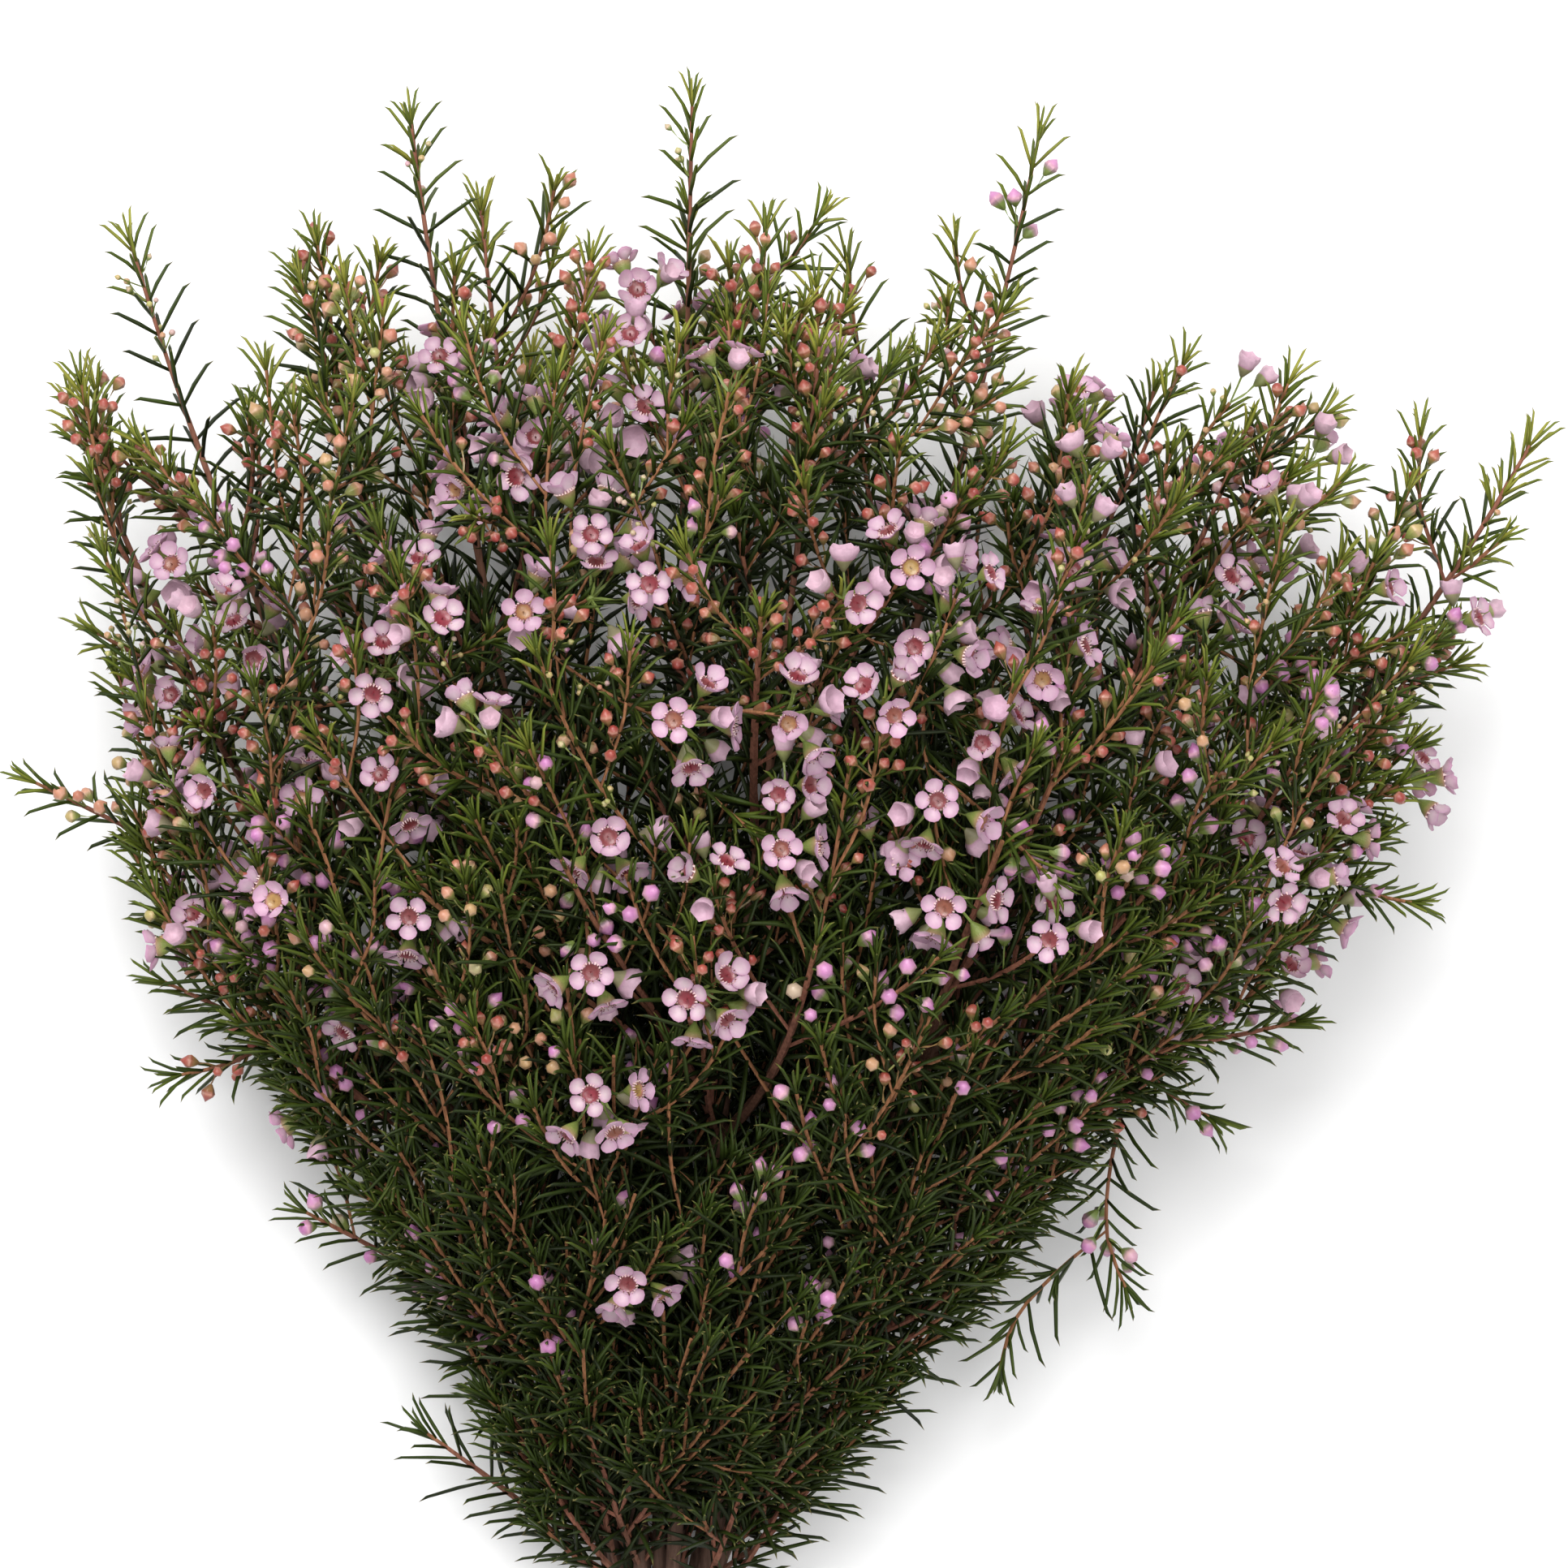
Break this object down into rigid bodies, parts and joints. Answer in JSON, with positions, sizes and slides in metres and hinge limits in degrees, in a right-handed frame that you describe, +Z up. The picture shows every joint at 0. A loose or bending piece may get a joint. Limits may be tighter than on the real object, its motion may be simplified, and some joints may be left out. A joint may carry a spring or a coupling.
{
  "type": "waxflower bunch",
  "caption": "Bunch of cut pink waxflower stems with needle leaves, buds and open five-petalled flowers, held by a rubber band and laid on its side.",
  "frame": {"origin": "middle of the rubber band's flat underside, on the surface that the bunch lies on", "axes": "+Y along the stems from their cut ends to the flowering tips, +Z up off the surface, +X to the right when the bunch is seen from above with its tips away"},
  "size_m": [0.4609, 0.5943, 0.1738],
  "materials": {
    "stems_and_leaves": "satin dark green needles on reddish-brown bark",
    "pink_flowers": "waxy mauve-pink petals round crimson discs and green cups",
    "rubber_band": "matte natural rubber"
  },
  "bodies": {
    "root": {"leafy_stem_01": "stems_and_leaves", "leafy_stem_02": "stems_and_leaves", "leafy_stem_03": "stems_and_leaves", "leafy_stem_04": "stems_and_leaves", "leafy_stem_05": "stems_and_leaves", "leafy_stem_06": "stems_and_leaves", "leafy_stem_07": "stems_and_leaves", "leafy_stem_08": "stems_and_leaves", "leafy_stem_09": "stems_and_leaves", "leafy_stem_10": "stems_and_leaves", "leafy_stem_11": "stems_and_leaves", "leafy_stem_12": "stems_and_leaves", "flower_cluster_01": "pink_flowers", "flower_cluster_02": "pink_flowers", "flower_cluster_03": "pink_flowers", "flower_cluster_04": "pink_flowers", "flower_cluster_05": "pink_flowers", "flower_cluster_06": "pink_flowers", "flower_cluster_07": "pink_flowers", "flower_cluster_08": "pink_flowers", "flower_cluster_09": "pink_flowers", "flower_cluster_10": "pink_flowers", "flower_cluster_11": "pink_flowers", "flower_cluster_12": "pink_flowers", "flower_cluster_13": "pink_flowers", "flower_cluster_14": "pink_flowers", "flower_cluster_15": "pink_flowers", "flower_cluster_16": "pink_flowers", "flower_cluster_17": "pink_flowers", "flower_cluster_18": "pink_flowers", "flower_cluster_19": "pink_flowers", "flower_cluster_20": "pink_flowers", "flower_cluster_21": "pink_flowers", "flower_cluster_22": "pink_flowers", "flower_cluster_23": "pink_flowers", "flower_cluster_24": "pink_flowers", "flower_cluster_25": "pink_flowers", "flower_cluster_26": "pink_flowers", "flower_cluster_27": "pink_flowers", "flower_cluster_28": "pink_flowers", "flower_cluster_29": "pink_flowers", "flower_cluster_30": "pink_flowers", "flower_cluster_31": "pink_flowers", "flower_cluster_32": "pink_flowers", "flower_cluster_33": "pink_flowers", "flower_cluster_34": "pink_flowers", "flower_cluster_35": "pink_flowers", "flower_cluster_36": "pink_flowers", "flower_cluster_37": "pink_flowers", "flower_cluster_38": "pink_flowers", "flower_cluster_39": "pink_flowers", "flower_cluster_40": "pink_flowers", "flower_cluster_41": "pink_flowers", "flower_cluster_42": "pink_flowers", "flower_cluster_43": "pink_flowers", "flower_cluster_44": "pink_flowers", "flower_cluster_45": "pink_flowers", "flower_cluster_46": "pink_flowers", "flower_cluster_47": "pink_flowers", "rubber_band": "rubber_band"}
  },
  "joints": []
}
